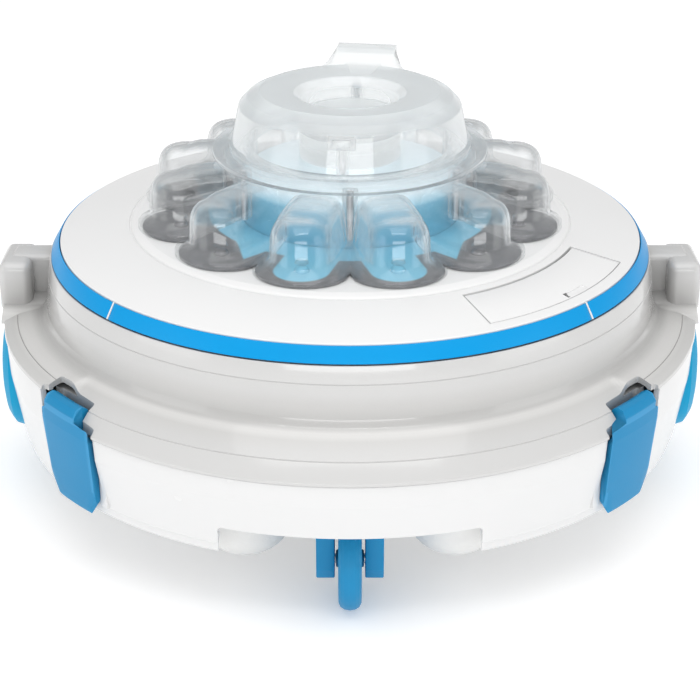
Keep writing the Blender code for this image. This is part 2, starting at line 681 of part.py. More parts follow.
def build_switch_tower():
    """Tower under the access flap, with a button and a charging port on top."""
    az = FLAP_AZ
    center = polar_mm(az, 145.0)
    tangent = Vector((cos(radians(az)), sin(radians(az)), 0))
    button = center + tangent * 9.6
    port = center - tangent * 8.8
    tower = box("switch_tower", (20.0, 38.0, 92.0), (center.x, center.y, 97.4),
                material("grey_tower", GREY, roughness=0.45), az=az)
    cut(tower, rod("button_well", 5.9, 16.0, (button.x, button.y, 143.2), facets=20))
    cut(tower, rod("port_well", 5.4, 20.0, (port.x, port.y, 140.2), facets=20))
    rod("power_button", 5.5, 8.6, (button.x, button.y, 142.4), 20,
        material("blue_button", BLUE, roughness=0.35))
    box("charge_plug", (15.0, 15.0, 2.4), (port.x, port.y, 144.8),
        material("rubber_plug", BLACK, roughness=0.7), az=az, bevel=1.0)


# ======================================================= ballast, caster
def build_ballast_pods():
    profile = [(0, 60.6), (24.0, 60.6), (24.0, 39.0), (23.0, 33.5), (20.2, 28.2),
               (15.6, 24.0), (9.0, 21.4), (0, 20.5)]
    for s, side in SIDES:
        lathe("ballast_pod_" + side, profile, 20,
              material("grey_pod_" + side, GREY, roughness=0.6), at=(s * 55.3, -131.0, 0))


def build_caster():
    hub = (0, CASTER_Y, CASTER_R)
    bore_r = CASTER_AXLE_R + FIT
    fork = box("caster_fork", (35.2, 24.0, 4.0), (0, -157.0, 58.0),
               material("blue_fork", CLIP_BLUE, roughness=0.4))
    cheek = [(-9.5, 59.9), (9.5, 59.9), (9.5, 24.0), (7.0, 18.8), (-7.0, 18.8), (-9.5, 24.0)]
    for s, _ in SIDES:
        join(fork, side_flat(f"cheek_{s}", cheek, 9.7, center=(s * 12.75, CASTER_Y, 0)))
    join(fork, rod("stem", 5.0, 21.0, (0, CASTER_SWIVEL_Y, 69.4), facets=20))
    cut(fork, rod("axle_bore", bore_r, 50.0, hub, facets=16, along_x=True))
    rod("caster_axle", CASTER_AXLE_R, 34.8, hub, 16, steel("steel_axle"), along_x=True)
    # one half of the wheel's section, (r, distance from its mid plane), is mirrored
    half = [(bore_r, 7.4), (4.6, 7.4), (4.8, 5.4), (22.4, 5.4), (24.6, 5.6), (26.6, 3.6)]
    profile = half + [(CASTER_R, 0.0)] + [(r, -z) for r, z in reversed(half)]
    lathe("caster_wheel", profile, 24, material("blue_caster", CLIP_BLUE, roughness=0.4),
          at=hub, rot=(0, radians(90), 0))


# ================================================================ wheels
def build_side_wheel(s, side):
    """Domed wheel, its profile's z measured outwards from the hull's axis."""
    bore_r = SIDE_AXLE_R + FIT
    profile = [(0, 200.6), (14.0, 200.1), (28.0, 198.2), (36.0, 195.0), (39.4, 190.6),
               (SIDE_WHEEL_R, 186.0), (38.6, 181.4), (bore_r, 181.4), (bore_r, 196.8),
               (0, 196.8)]
    lathe("side_wheel_" + side, profile, 28,
          material("blue_wheel_" + side, WHEEL_BLUE, roughness=0.35),
          at=(0, 0, SIDE_WHEEL_Z), rot=(0, radians(90 * s), 0))


def build_drive_wheel(s, side):
    """Hub with a stub on its inner side, and a chamfered tyre."""
    at = (s * DRIVE_X, DRIVE_Y, DRIVE_R)
    rot = (0, radians(90 * s), 0)
    face = DRIVE_W / 2
    shoulder = face - 2.0
    hub = [(0, face), (22.0, face), (DRIVE_HUB_R, shoulder), (DRIVE_HUB_R, -shoulder),
           (22.0, -face), (3.6, -face), (3.6, -16.3), (0, -16.3)]
    tyre_in, tyre_edge = DRIVE_HUB_R + FIT, DRIVE_R - 1.5
    tyre = [(tyre_in, face), (tyre_edge, face), (DRIVE_R, shoulder), (DRIVE_R, -shoulder),
            (tyre_edge, -face), (tyre_in, -face)]
    lathe("drive_hub_" + side, hub, 20, material("white_hub_" + side, WHITE, roughness=0.4),
          at, rot)
    lathe("drive_tyre_" + side, tyre, 24,
          material("rubber_tyre_" + side, BLACK, roughness=0.8), at, rot)


def build_gearmotor(s, side):
    box("gearmotor_" + side, (26.0, 30.0, 28.0), (s * 98.0, DRIVE_Y, 33.2),
        material("black_gearmotor_" + side, DARK, roughness=0.5))


# ============================================================== assembly
build_upper_shell()
build_top_deck()
build_trim_rings()
build_access_flap()
build_light_crown()
build_led_board()
build_outlet_cap()
build_outlet_nozzle()
build_screws()
build_outlet_drum()
build_impeller_duct()
for clip_place, clip_az in CLIPS:
    build_clip(clip_place, clip_az)
build_lower_tray()
build_suction_base()
build_filter()
build_motor_housing()
build_motor()
build_impeller()
build_power_boxes()
build_switch_tower()
build_ballast_pods()
build_caster()
for sign, side_name in SIDES:
    build_side_wheel(sign, side_name)
    build_drive_wheel(sign, side_name)
    build_gearmotor(sign, side_name)
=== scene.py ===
"""Looks for a cordless robotic pool cleaner: fine surfaces and materials around the CAD frame.

The machine is a round hull on wheels, standing on z = 0 with its axis on Z. The front faces -Y
and the side wheels stand at +X and -X. Lengths are in millimetres until they meet MM. Azimuths
are in degrees, 0 at the front and growing towards +X. Profiles are lists of (radius, height).
"""
import bpy
import bmesh
import json
from math import sin, cos, tan, pi, radians, sqrt
from mathutils import Vector, Matrix


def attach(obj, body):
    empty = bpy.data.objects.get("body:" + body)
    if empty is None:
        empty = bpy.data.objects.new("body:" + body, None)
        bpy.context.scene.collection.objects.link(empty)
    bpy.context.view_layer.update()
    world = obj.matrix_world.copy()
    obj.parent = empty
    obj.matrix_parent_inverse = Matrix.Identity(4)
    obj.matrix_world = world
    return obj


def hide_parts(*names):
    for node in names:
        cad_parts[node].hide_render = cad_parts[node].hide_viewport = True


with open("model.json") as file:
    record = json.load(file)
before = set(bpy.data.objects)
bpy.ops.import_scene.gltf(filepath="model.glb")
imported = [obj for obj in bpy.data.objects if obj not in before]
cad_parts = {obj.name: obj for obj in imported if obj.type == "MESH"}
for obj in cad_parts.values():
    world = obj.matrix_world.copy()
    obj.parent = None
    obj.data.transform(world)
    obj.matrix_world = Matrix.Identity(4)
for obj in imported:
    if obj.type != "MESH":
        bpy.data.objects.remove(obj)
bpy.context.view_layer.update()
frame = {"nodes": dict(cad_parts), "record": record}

MM = 0.001
ON_AXIS = 1e-6            # radii up to this are taken as lying on the axis
SIDES = (-1, 1)           # left (-X), right (+X)

WHEEL_Z = 71.8            # axle height of the side wheels
HOUSING_R = 45.4          # outer radius of the housings round the side wheels
DRIVE_X, DRIVE_Y = 128.0, 45.0
DRIVE_R = 32.0            # tyre radius, so also the axle height
CASTER_Y, CASTER_R = -154.0, 27.1
CASTER_STEM_Y = -160.0
FLAP_AZ, FLAP_HALF = 47.4, 20.7
LOBES = 12                # lobes of the lamp crown
LOBE_PITCH = 360.0 / LOBES
LAMP_R = 97.0             # radius of the circle the lamps stand on
CAP_TURN = -4.0           # azimuth at which the cap's repeated details start
CAP_SCREW_R, CROWN_SCREW_R = 55.4, 66.6
# name: (azimuth, sign of the azimuth step that leads towards the Y axis)
CLIPS = {
    "front_left": (-48.5, 1),
    "front_right": (48.5, -1),
    "rear_right": (131.5, 1),
    "rear_left": (-131.5, -1),
}


# ---------------------------------------------------------------- placing
def polar(az, r, z=0.0):
    """Point in metres."""
    a = radians(az)
    return Vector((r * sin(a) * MM, -r * cos(a) * MM, z * MM))


def place(az, r, z=0.0):
    """Point in millimetres."""
    return polar(az, r, z) / MM


def directions(az):
    """Outward and tangent unit vectors."""
    a = radians(az)
    return Vector((sin(a), -cos(a), 0)), Vector((cos(a), sin(a), 0))


def smoothstep(low, high, t):
    t = max(0.0, min(1.0, (t - low) / (high - low)))
    return t * t * (3 - 2 * t)


# ----------------------------------------------------------------- meshes
def finish(ob, smooth=35.0):
    """Smooth shading, with edges sharper than the angle kept sharp."""
    ob.data.shade_smooth()
    ob.data.set_sharp_from_angle(angle=radians(smooth))
    return ob


def from_bm(name, bm, smooth=35.0):
    bmesh.ops.recalc_face_normals(bm, faces=bm.faces[:])
    mesh = bpy.data.meshes.new(name)
    bm.to_mesh(mesh)
    bm.free()
    ob = bpy.data.objects.new(name, mesh)
    bpy.context.scene.collection.objects.link(ob)
    return finish(ob, smooth)


def loft(name, rows, ring=False, smooth=35.0):
    """Skin over closed loops of points: a ring joins last to first, otherwise the ends are capped."""
    bm = bmesh.new()
    verts = [[bm.verts.new(p) for p in row] for row in rows]
    n, m = len(verts[0]), len(verts)
    for j in range(m if ring else m - 1):
        a, b = verts[j], verts[(j + 1) % m]
        for i in range(n):
            k = (i + 1) % n
            bm.faces.new((a[i], a[k], b[k], b[i]))
    if not ring:
        bm.faces.new(verts[0])
        bm.faces.new(verts[-1])
    return from_bm(name, bm, smooth)


def arc_loft(name, profile, start, end, steps):
    """Profile swept about Z from one azimuth to another."""
    return loft(name, [[polar(start + (end - start) * k / steps, r, z) for r, z in profile]
                       for k in range(steps + 1)])


def rounded(points, radius=0.6, steps=4, radii={}):
    """Rounds the corners of a closed outline; radii overrides the radius by corner index."""
    out = []
    for i, corner in enumerate(points):
        corner = Vector(corner)
        u = Vector(points[i - 1]) - corner
        v = Vector(points[(i + 1) % len(points)]) - corner
        u_len, v_len = u.length, v.length
        u, v = u / u_len, v / v_len
        trim = radii.get(i, radius) / max(tan(u.angle(v) / 2), 1e-4)
        trim = min(trim, 0.46 * u_len, 0.46 * v_len)
        p0, p1 = corner + u * trim, corner + v * trim
        for k in range(steps + 1):
            s = k / steps
            out.append(tuple((1 - s) ** 2 * p0 + 2 * s * (1 - s) * corner + s * s * p1))
    return out


def lathe(name, profile, segments=160, at=(0, 0, 0), turn=None, smooth=35.0):
    """Turned solid from a closed profile, or an open one that starts and ends on the axis."""
    bm = bmesh.new()
    rows = []
    for j in range(segments):
        a = 2 * pi * j / segments
        rows.append([None if r <= ON_AXIS else bm.verts.new((r * cos(a) * MM, r * sin(a) * MM, z * MM))
                     for r, z in profile])
    poles = {i: bm.verts.new((0, 0, z * MM)) for i, (r, z) in enumerate(profile) if r <= ON_AXIS}
    for row in rows:
        for i, pole in poles.items():
            row[i] = pole
    n = len(profile)
    for j in range(segments):
        a, b = rows[j], rows[(j + 1) % segments]
        for i in range(n if profile[0][0] > ON_AXIS else n - 1):
            k = (i + 1) % n
            # a pole stands in both rows, so its quad becomes a triangle
            bm.faces.new(list(dict.fromkeys((a[i], a[k], b[k], b[i]))))
    ob = from_bm(name, bm, smooth)
    matrix = Matrix.Translation(Vector(at) * MM)
    if turn is not None:
        matrix = matrix @ turn
    ob.data.transform(matrix)
    ob.data.update()
    return ob


def box(size, at, turn=0.0, bevel=0.0, segments=3, name="tool"):
    bm = bmesh.new()
    bmesh.ops.create_cube(bm, size=1.0)
    bmesh.ops.scale(bm, vec=[s * MM for s in size], verts=bm.verts[:])
    if bevel:
        bmesh.ops.bevel(bm, geom=bm.edges[:], offset=bevel * MM, segments=segments, profile=0.5,
                        affect='EDGES')
    matrix = Matrix.Translation(Vector(at) * MM) @ Matrix.Rotation(radians(turn), 4, 'Z')
    bmesh.ops.transform(bm, matrix=matrix, verts=bm.verts[:])
    return from_bm(name, bm)


def radial_box(size, az, r, z, **options):
    """Box sized (radial, tangential, height)."""
    return box(size, place(az, r, z), turn=az - 90, **options)


def cylinder(radius, length, at, axis='Z', segments=48, name="tool"):
    bm = bmesh.new()
    bmesh.ops.create_cone(bm, cap_ends=True, segments=segments, radius1=radius * MM,
                          radius2=radius * MM, depth=length * MM)
    matrix = Matrix.Translation(Vector(at) * MM)
    if axis == 'X':
        matrix = matrix @ Matrix.Rotation(radians(90), 4, 'Y')
    bmesh.ops.transform(bm, matrix=matrix, verts=bm.verts[:])
    return from_bm(name, bm)


def tangent_prism(outline, width, az, centre):
    """Outline of (radial, z) offsets from the centre, extruded along the tangent."""
    outward, tangent = directions(az)
    centre = Vector(centre)
    return loft("tool", [[(centre + outward * x + Vector((0, 0, z)) + tangent * s) * MM
                          for x, z in outline] for s in (-width / 2, width / 2)])


def bake(ob):
    """Applies the modifiers and returns the mesh they replaced."""
    bpy.context.view_layer.update()
    evaluated = ob.evaluated_get(bpy.context.evaluated_depsgraph_get())
    mesh = bpy.data.meshes.new_from_object(evaluated)
    ob.modifiers.clear()
    old = ob.data
    ob.data = mesh
    return old


def boolean(ob, tool, operation):
    modifier = ob.modifiers.new("boolean", 'BOOLEAN')
    modifier.operation = operation
    modifier.solver = 'EXACT'
    modifier.object = tool
    bpy.data.meshes.remove(bake(ob))
    bpy.data.objects.remove(tool, do_unlink=True)


def cut(ob, tool):
    boolean(ob, tool, 'DIFFERENCE')


def join(ob, tool):
    boolean(ob, tool, 'UNION')


def bevel_edges(ob, width, segments=2, angle=40.0):
    modifier = ob.modifiers.new("edge", 'BEVEL')
    modifier.width = width * MM
    modifier.segments = segments
    modifier.limit_method = 'ANGLE'
    modifier.angle_limit = radians(angle)
    modifier.use_clamp_overlap = True
    bake(ob)
    finish(ob)


# -------------------------------------------------------------- materials
class Graph:
    """Shader nodes of one material or world; values may be numbers or sockets to link from."""

    def __init__(self, owner):
        owner.use_nodes = True
        self.owner = owner
        self.tree = owner.node_tree
        self.nodes = self.tree.nodes

    def set(self, node, values):
        for key, value in values.items():
            if isinstance(value, bpy.types.NodeSocket):
                self.tree.links.new(value, node.inputs[key])
            else:
                node.inputs[key].default_value = value

    def add(self, kind, values={}, out=0, **settings):
        """Adds a node and returns one of its outputs."""
        node = self.nodes.new("ShaderNode" + kind)
        for key, value in settings.items():
            setattr(node, key, value)
        self.set(node, values)
        return node.outputs[out]

    def principled(self, values):
        self.set(self.nodes["Principled BSDF"], values)

    def coords(self):
        return self.add("TexCoord", out="Object")

    def height(self, coords):
        return self.add("SeparateXYZ", {0: coords}, out="Z")

    def noise(self, coords, scale, detail=2.0):
        return self.add("TexNoise", {"Vector": coords, "Scale": scale, "Detail": detail})

    def bump(self, height, strength, distance=0.0003):
        return self.add("Bump", {"Strength": strength, "Distance": distance, "Height": height})

    def map_range(self, value, source=(0.0, 1.0), target=(0.0, 1.0), **settings):
        return self.add("MapRange", {"Value": value, "From Min": source[0], "From Max": source[1],
                                     "To Min": target[0], "To Max": target[1]}, **settings)

    def ramp(self, factor, stops):
        """Colour ramp from sorted (position, grey or rgb) stops."""
        socket = self.add("ValToRGB", {"Fac": factor})
        elements = socket.node.color_ramp.elements
        stops = [(pos, (*(c if isinstance(c, tuple) else (c, c, c)), 1)) for pos, c in stops]
        elements[0].position, elements[0].color = stops[0]
        elements[1].position, elements[1].color = stops[-1]
        for pos, color in stops[1:-1]:
            elements.new(pos).color = color
        return socket

    def mix_color(self, factor, first, second, **settings):
        return self.add("MixRGB", {"Fac": factor, "Color1": first, "Color2": second}, **settings)

    def mix(self, factor, first, second):
        return self.add("MixShader", {0: factor, 1: first, 2: second})

    def math(self, operation, *values):
        return self.add("Math", dict(enumerate(values)), operation=operation)

    def surface(self, shader):
        self.set(self.nodes["Material Output"], {"Surface": shader})


def new_graph(name):
    return Graph(bpy.data.materials.new(name))


def scaled(color, factor):
    return tuple(c * factor for c in color)


def paint_crease_shade_and_sheen(g, tint, coords, painted_shade_depth):
    """Painted shade in inside corners, from ambient occlusion, and painted height bands where the
    shell's wall meets its ledge: a painted dark reflection in the fillet and a painted highlight line
    just below it.
    """
    # painted shade: the colour darkens where ambient occlusion finds inside corners
    occlusion = g.add("AmbientOcclusion", {"Distance": 0.05}, out="AO", samples=8)
    shade = g.map_range(occlusion, source=(0.40, 0.98), target=(1.0 - painted_shade_depth, 1.0))
    tint = g.mix_color(1.0, tint, shade, blend_type='MULTIPLY')
    # (place within the height band, brightness): a painted highlight line from 0.225 to 0.265, a
    # painted dark reflection in the fillet from 0.32 to 0.70
    painted_sheen_bands = [(0.16, 0.86), (0.225, 0.99), (0.265, 0.99), (0.32, 0.78), (0.46, 0.74), (0.70, 0.81)]
    stops = [(0.0, 0.88)] + [(pos, (v, v * 0.995, v * 0.985)) for pos, v in painted_sheen_bands] + [(1.0, 0.88)]
    level = g.map_range(g.height(coords), source=(0.105, 0.130))
    return g.mix_color(1.0, tint, g.ramp(level, stops), blend_type='MULTIPLY')


def plastic(name, color, rough=0.3, rough_spread=0.06, tone=0.03, grain=0.05, grain_scale=400.0,
            coat=0.0, specular=0.5, wear=None, painted_shade_depth=0.0):
    """Moulded plastic: tone is the mottling, grain the bump, wear the colour of worn edges; the last
    argument sets how deep the painted shade in inside corners goes, and turns on the painted height
    bands.
    """
    g = new_graph(name)
    coords = g.coords()
    mottling = g.noise(coords, scale=9.0, detail=5.0)
    tint = g.ramp(mottling, [(0.3, scaled(color, 1 - tone)), (0.7, scaled(color, 1 + tone))])
    if wear:
        edges = g.ramp(g.add("NewGeometry", out="Pointiness"), [(0.52, 0.0), (0.62, 1.0)])
        tint = g.mix_color(edges, tint, (*wear, 1))
    # painted shade in inside corners, with painted highlight and reflection bands by height
    if painted_shade_depth:
        tint = paint_crease_shade_and_sheen(g, tint, coords, painted_shade_depth)
    flow = g.noise(coords, scale=26.0, detail=4.0)
    g.principled({
        "Base Color": tint,
        "Specular IOR Level": specular,
        "Roughness": g.map_range(flow, target=(rough - rough_spread, rough + rough_spread)),
        "Normal": g.bump(g.noise(coords, scale=grain_scale, detail=3.0), strength=grain),
        "Coat Weight": coat,
        "Coat Roughness": 0.06,
    })
    return g.owner


def clear(name, color=(0.985, 0.99, 0.992), frost=0.34, frost_band=(0.204, 0.236)):
    """Clear polycarbonate that lets light through in shadows.

    The haze grows to the frost amount across the height band, in metres.
    """
    g = new_graph(name)
    coords = g.coords()
    flow = g.noise(coords, scale=34.0, detail=3.0)
    normal = g.bump(flow, strength=0.04)
    g.principled({
        "Roughness": g.map_range(flow, target=(0.03, 0.03 + 0.05)),
        "Base Color": g.ramp(flow, [(0.0, scaled(color, 0.985)), (1.0, color)]),
        "Transmission Weight": 1.0,
        "IOR": 1.12,
        "Normal": normal,
    })
    # thin wall: see-through face on, white and glossy towards the edge, with a painted grey outline
    # where it is seen edge on
    see_through = g.add("BsdfTransparent", {"Color": (0.985, 0.99, 0.992, 1)})
    facing = g.add("LayerWeight", {"Blend": 0.5, "Normal": normal}, out="Facing")
    edge_white = g.ramp(facing, [(0.0, 0.012), (0.25, 0.03), (0.42, 0.16), (0.58, 0.45),
                                 (0.80, 0.80), (1.0, 0.80)])
    above_foot = g.map_range(g.height(coords), source=(0.1680, 0.1725), target=(0.22, 1.0))
    edge_white = g.math('MULTIPLY', edge_white, above_foot)
    # painted grey outline: the gloss and translucent colours turn grey where the wall is seen edge on
    edge_color = g.ramp(facing, [(0.88, 1.0), (0.975, (0.36, 0.38, 0.40))])
    gloss = g.add("BsdfGlossy", {"Roughness": 0.04, "Color": edge_color, "Normal": normal})
    glow = g.add("BsdfTranslucent", {"Color": edge_color})
    shader = g.mix(edge_white, see_through, g.mix(0.35, gloss, glow))
    shader = g.mix(0.035, shader, gloss)
    shader = g.mix(0.06, shader, g.nodes["Principled BSDF"].outputs["BSDF"])
    haze = g.mix(0.5, g.add("BsdfDiffuse", {"Color": (0.96, 0.965, 0.96, 1)}),
                 g.add("BsdfTranslucent", {"Color": (0.98, 0.985, 0.98, 1)}))
    haziness = g.map_range(g.height(coords), source=frost_band, target=(0.0, frost))
    shader = g.mix(haziness, shader, haze)
    shadow = g.add("LightPath", out="Is Shadow Ray")
    passing = g.math('MAXIMUM', shadow, shadow.node.outputs["Is Diffuse Ray"])
    g.surface(g.mix(passing, shader, see_through))
    return g.owner


def metal(name, color, rough):
    """Metal with a streaky finish."""
    g = new_graph(name)
    stretched = g.add("Mapping", {"Vector": g.coords(), "Scale": (1, 1, 12)})
    streaks = g.noise(stretched, scale=300.0)
    g.principled({
        "Roughness": g.map_range(streaks, target=(rough - 0.1, rough + 0.12)),
        "Base Color": g.ramp(streaks, [(0.0, scaled(color, 0.9)), (1.0, color)]),
        "Metallic": 1.0,
        "Normal": g.bump(streaks, strength=0.1, distance=0.0002),
    })
    return g.owner


def mesh_screen(name):
    """Filter cloth, banded along Z."""
    g = new_graph(name)
    weave = g.add("TexWave", {"Scale": 300.0, "Vector": g.coords()}, out="Fac",
                  bands_direction='Z')
    g.principled({
        "Base Color": g.ramp(weave, [(0.0, (0.5, 0.53, 0.55)), (1.0, (0.8, 0.82, 0.84))]),
        "Roughness": 0.7,
        "Normal": g.bump(weave, strength=0.5),
    })
    return g.owner


def board_painted_see_through():
    """Dark lamp board with painted blue inside the dome outlines, further out towards the front and
    back: a painted view of the blue drum as seen through the domes.
    """
    dome_centre, dome_r, hub_r = 97.2, 14.9, 80.0
    g = new_graph("board_painted_see_through")
    coords = g.coords()
    speckle = g.noise(coords, scale=120.0)
    x = g.add("SeparateXYZ", {0: coords}, out="X")
    y = x.node.outputs["Y"]
    flat = g.add("CombineXYZ", {"X": x, "Y": y})
    radius = g.math('MULTIPLY', g.add("VectorMath", {0: flat}, out="Value", operation='LENGTH'),
                    1000.0)
    # angle off the nearest lobe's centre line; whole turns keep the modulo positive
    angle = g.math('ADD', g.math('ARCTAN2', x, g.math('MULTIPLY', y, -1.0)), 4 * pi)
    angle = g.math('SUBTRACT', g.math('MODULO', angle, pi / 6), pi / 12)
    # distance from the dome's spine, which runs outwards to the dome centre
    along = g.math('MULTIPLY', radius, g.math('COSINE', angle))
    along = g.math('MAXIMUM', g.math('SUBTRACT', along, dome_centre), 0.0)
    across = g.math('MULTIPLY', radius, g.math('SINE', angle))
    distance = g.math('SQRT', g.math('ADD', g.math('MULTIPLY', along, along),
                                     g.math('MULTIPLY', across, across)))
    sideways = g.math('DIVIDE', g.math('ABSOLUTE', g.math('MULTIPLY', x, 1000.0)), radius)
    # the painted blue fills the domes towards the front and back, and shrinks towards the hub at the
    # sides
    reach = g.map_range(sideways, source=(0.30, 0.85), target=(116.0, 78.0),
                        interpolation_type='SMOOTHSTEP')
    outside = g.math('MAXIMUM', g.math('SUBTRACT', distance, dome_r),
                     g.math('SUBTRACT', radius, reach))
    edge = g.math('MINIMUM', outside, g.math('SUBTRACT', radius, hub_r))
    dark = g.ramp(speckle, [(0.0, (0.075, 0.078, 0.085)), (1.0, (0.17, 0.17, 0.18))])
    blend = g.map_range(edge, source=(-0.6, 0.6))
    # painted blue: the drum as seen through the domes, mixed over the board's own dark colour
    g.principled({
        "Base Color": g.mix_color(blend, (0.16, 0.46, 0.62, 1), dark),
        "Roughness": 0.3,
        "Normal": g.bump(speckle, strength=0.25),
    })
    return g.owner


DRUM_BLUE = dict(color=(0.14, 0.42, 0.58), rough=0.40, tone=0.06, grain=0.06)


def drum_paling_upwards():
    """Drum plastic that pales towards its top."""
    g = Graph(plastic("drum_paling_upwards", **DRUM_BLUE))
    blue = g.nodes["Principled BSDF"].inputs["Base Color"].links[0].from_socket
    rise = g.map_range(g.height(g.coords()), source=(0.1835, 0.1905))
    g.principled({"Base Color": g.mix_color(rise, blue, (0.66, 0.77, 0.82, 1))})
    return g.owner


MATERIALS = {
    # the shell's colour carries painted shade in its inside corners and painted bands along the fillet
    "white_shell": plastic("white_shell_fine", (0.645, 0.642, 0.636), rough=0.22, tone=0.008,
                           grain=0.02, grain_scale=260, coat=0.7, rough_spread=0.04, painted_shade_depth=0.35),
    "white_deck": plastic("white_deck_fine", (0.79, 0.79, 0.79), rough=0.38, tone=0.006,
                          grain=0.03, grain_scale=500, coat=0.05),
    "white_tray": plastic("white_tray_fine", (0.71, 0.71, 0.71), rough=0.26, tone=0.008,
                          grain=0.02, grain_scale=260, coat=0.3, rough_spread=0.04),
    "blue_trim": plastic("blue_trim_fine", (0.0, 0.295, 0.66), rough=0.34, tone=0.02,
                         grain=0.03, grain_scale=500, specular=0.18),
    "blue_latch": plastic("blue_latch_fine", (0.005, 0.22, 0.45), rough=0.46, tone=0.05,
                          grain=0.12, grain_scale=900, wear=(0.03, 0.28, 0.54), specular=0.3),
    "blue_wheel": plastic("blue_wheel_fine", (0.0, 0.31, 0.56), rough=0.45, tone=0.05,
                          grain=0.15, grain_scale=700, wear=(0.0, 0.36, 0.6), specular=0.2),
    "clear_plastic": clear("clear_fine"),
    "led_board_dark": plastic("dark_board_fine", (0.085, 0.088, 0.095), rough=0.35, tone=0.12,
                              grain=0.2, grain_scale=700, coat=0.1),
    "drum_blue": plastic("drum_blue_fine", **DRUM_BLUE),
    "grey_plastic": plastic("grey_plastic_fine", (0.74, 0.74, 0.73), rough=0.6, tone=0.06,
                            grain=0.6, grain_scale=900),
    "filter_mesh": mesh_screen("filter_mesh_fine"),
    "black_plastic": plastic("black_plastic_fine", (0.045, 0.045, 0.05), rough=0.5, tone=0.1,
                             grain=0.3, grain_scale=900),
    "black_rubber": plastic("black_rubber_fine", (0.02, 0.02, 0.021), rough=0.75, tone=0.15,
                            grain=0.4, grain_scale=700),
    "steel": metal("steel_fine", color=(0.82, 0.83, 0.85), rough=0.35),
    "battery_wrap": plastic("battery_wrap_fine", (0.03, 0.08, 0.30), rough=0.3, tone=0.08,
                            grain=0.1, grain_scale=300, coat=0.4),
    "white_hub": plastic("white_hub_fine", (0.8, 0.8, 0.79), rough=0.4, tone=0.02,
                         grain=0.1, grain_scale=500),
}
SLOT = {part["node"]: part["material_slot"] for part in frame["record"]["subparts"]}
BODY = {node: body for body, nodes in frame["record"]["behaviour"]["bodies"].items()
        for node in nodes}
for node, ob in frame["nodes"].items():
    ob.data.materials.clear()
    ob.data.materials.append(MATERIALS[SLOT[node]])


def dress(ob, slot, body, replaced=None):
    """Gives a piece its material and body, and the CAD node it stands in for, if any."""
    ob.data.materials.clear()
    ob.data.materials.append(MATERIALS[slot])
    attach(ob, body)
    if replaced:
        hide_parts(replaced)


def put(ob, node):
    """Stands a fine piece in for a CAD node."""
    dress(ob, SLOT[node], BODY[node], node)


# ================================================================== hull
def hull_loft(name, end_profile, side_profile, low, high, radius, radii):
    """Ring that changes profile between low and high degrees off the Y axis."""
    azimuths = [1.5 * k for k in range(240)]
    azimuths += [base + s * (low + (high - low) * k / 4)
                 for base in (0, 180) for s in (-1, 1) for k in range(5)]
    rows = []
    for az in sorted(set(round(a % 360, 4) for a in azimuths)):
        off_axis = abs(((az + 180) % 360) - 180)
        t = smoothstep(low, high, min(off_axis, 180 - off_axis))
        profile = [(a[0] + (b[0] - a[0]) * t, a[1] + (b[1] - a[1]) * t)
                   for a, b in zip(end_profile, side_profile)]
        rows.append([polar(az, r, z) for r, z in rounded(profile, radius, 3, radii)])
    return loft(name, rows, ring=True)


# ----------------------------------------------------------- upper shell
SHELL_OUTER = [
    (163.4, 151.0), (163.4, 149.2), (166.7, 143.9), (169.5, 144.8), (171.35, 135.6),
    (171.1, 135.2), (171.45, 134.8), (172.3, 124.2), (173.2, 117.2), (174.8, 113.6)]
SHELL_SKIRT_ENDS = [      # front and back
    (178.0, 111.2), (190.3, 103.1), (190.35, 102.6), (190.9, 102.5), (197.6, 94.4),
    (197.9, 92.6), (191.5, 92.6), (191.3, 95.0), (187.0, 100.2), (175.0, 108.8)]
SHELL_SKIRT_SIDES = [
    (178.0, 112.6), (189.7, 110.1), (189.8, 109.6), (190.3, 109.9), (197.4, 107.4),
    (197.9, 105.0), (192.5, 105.0), (191.8, 106.2), (187.0, 107.2), (175.0, 109.4)]
SHELL_INNER = [
    (169.6, 118.5), (168.6, 134.5), (161.0, 147.2), (156.0, 148.2), (156.0, 151.0)]
SHELL_RADII = {4: 0.05, 5: 0.05, 6: 0.05, 8: 5.0, 9: 4.0, 10: 4.0, 11: 0.05, 12: 0.05,
               13: 0.05, 14: 0.9}

shell = hull_loft("hull_cover", SHELL_OUTER + SHELL_SKIRT_ENDS + SHELL_INNER,
                  SHELL_OUTER + SHELL_SKIRT_SIDES + SHELL_INNER,
                  low=49.0, high=51.5, radius=0.8, radii=SHELL_RADII)
HOOD_FLOOR_Z, HOOD_CUT_HEIGHT = 106.2, 80
for s in SIDES:
    # ear above each side wheel, its web to the wall, and the hood over the wheel
    join(shell, box((18.6, 37.0, 41.6), (s * 190.1, 0, 116.9), bevel=5.0, segments=6))
    join(shell, box((28.0, 19.0, 33.0), (s * 179.5, 3.0, 122.0), bevel=3.0, segments=5))
    hood = cylinder(HOUSING_R, 24.0, (s * 185.2, 0, WHEEL_Z), 'X', segments=128)
    cut(hood, box((60, 120, HOOD_CUT_HEIGHT), (s * 185.0, 0, HOOD_FLOOR_Z - HOOD_CUT_HEIGHT / 2)))
    join(shell, hood)
for s in SIDES:
    cut(shell, cylinder(42.2, 36.0, (s * 196.6, 0, WHEEL_Z), 'X', segments=128))
NOTCH_Z, NOTCH_HEIGHT = 97.0, 34.0
for az, inward in CLIPS.values():
    pocket_az = az - inward * 1.1
    join(shell, radial_box((5.0, 40.0, 10.6), pocket_az, 184.4, 98.6))
    cut(shell, radial_box((24.0, 44.2, NOTCH_HEIGHT), az, 205.8, NOTCH_Z, bevel=1.2))
    cut(shell, radial_box((17.6, 30.6, NOTCH_HEIGHT), pocket_az, 194.3, NOTCH_Z, bevel=1.2))
finish(shell, 32)
put(shell, "upper_shell")


# ------------------------------------------------------------------ deck
def deck_z(r):
    """Height of the deck's sloping top."""
    return 160.6 + (r - 125.2) * (153.9 - 160.6) / (163.4 - 125.2)


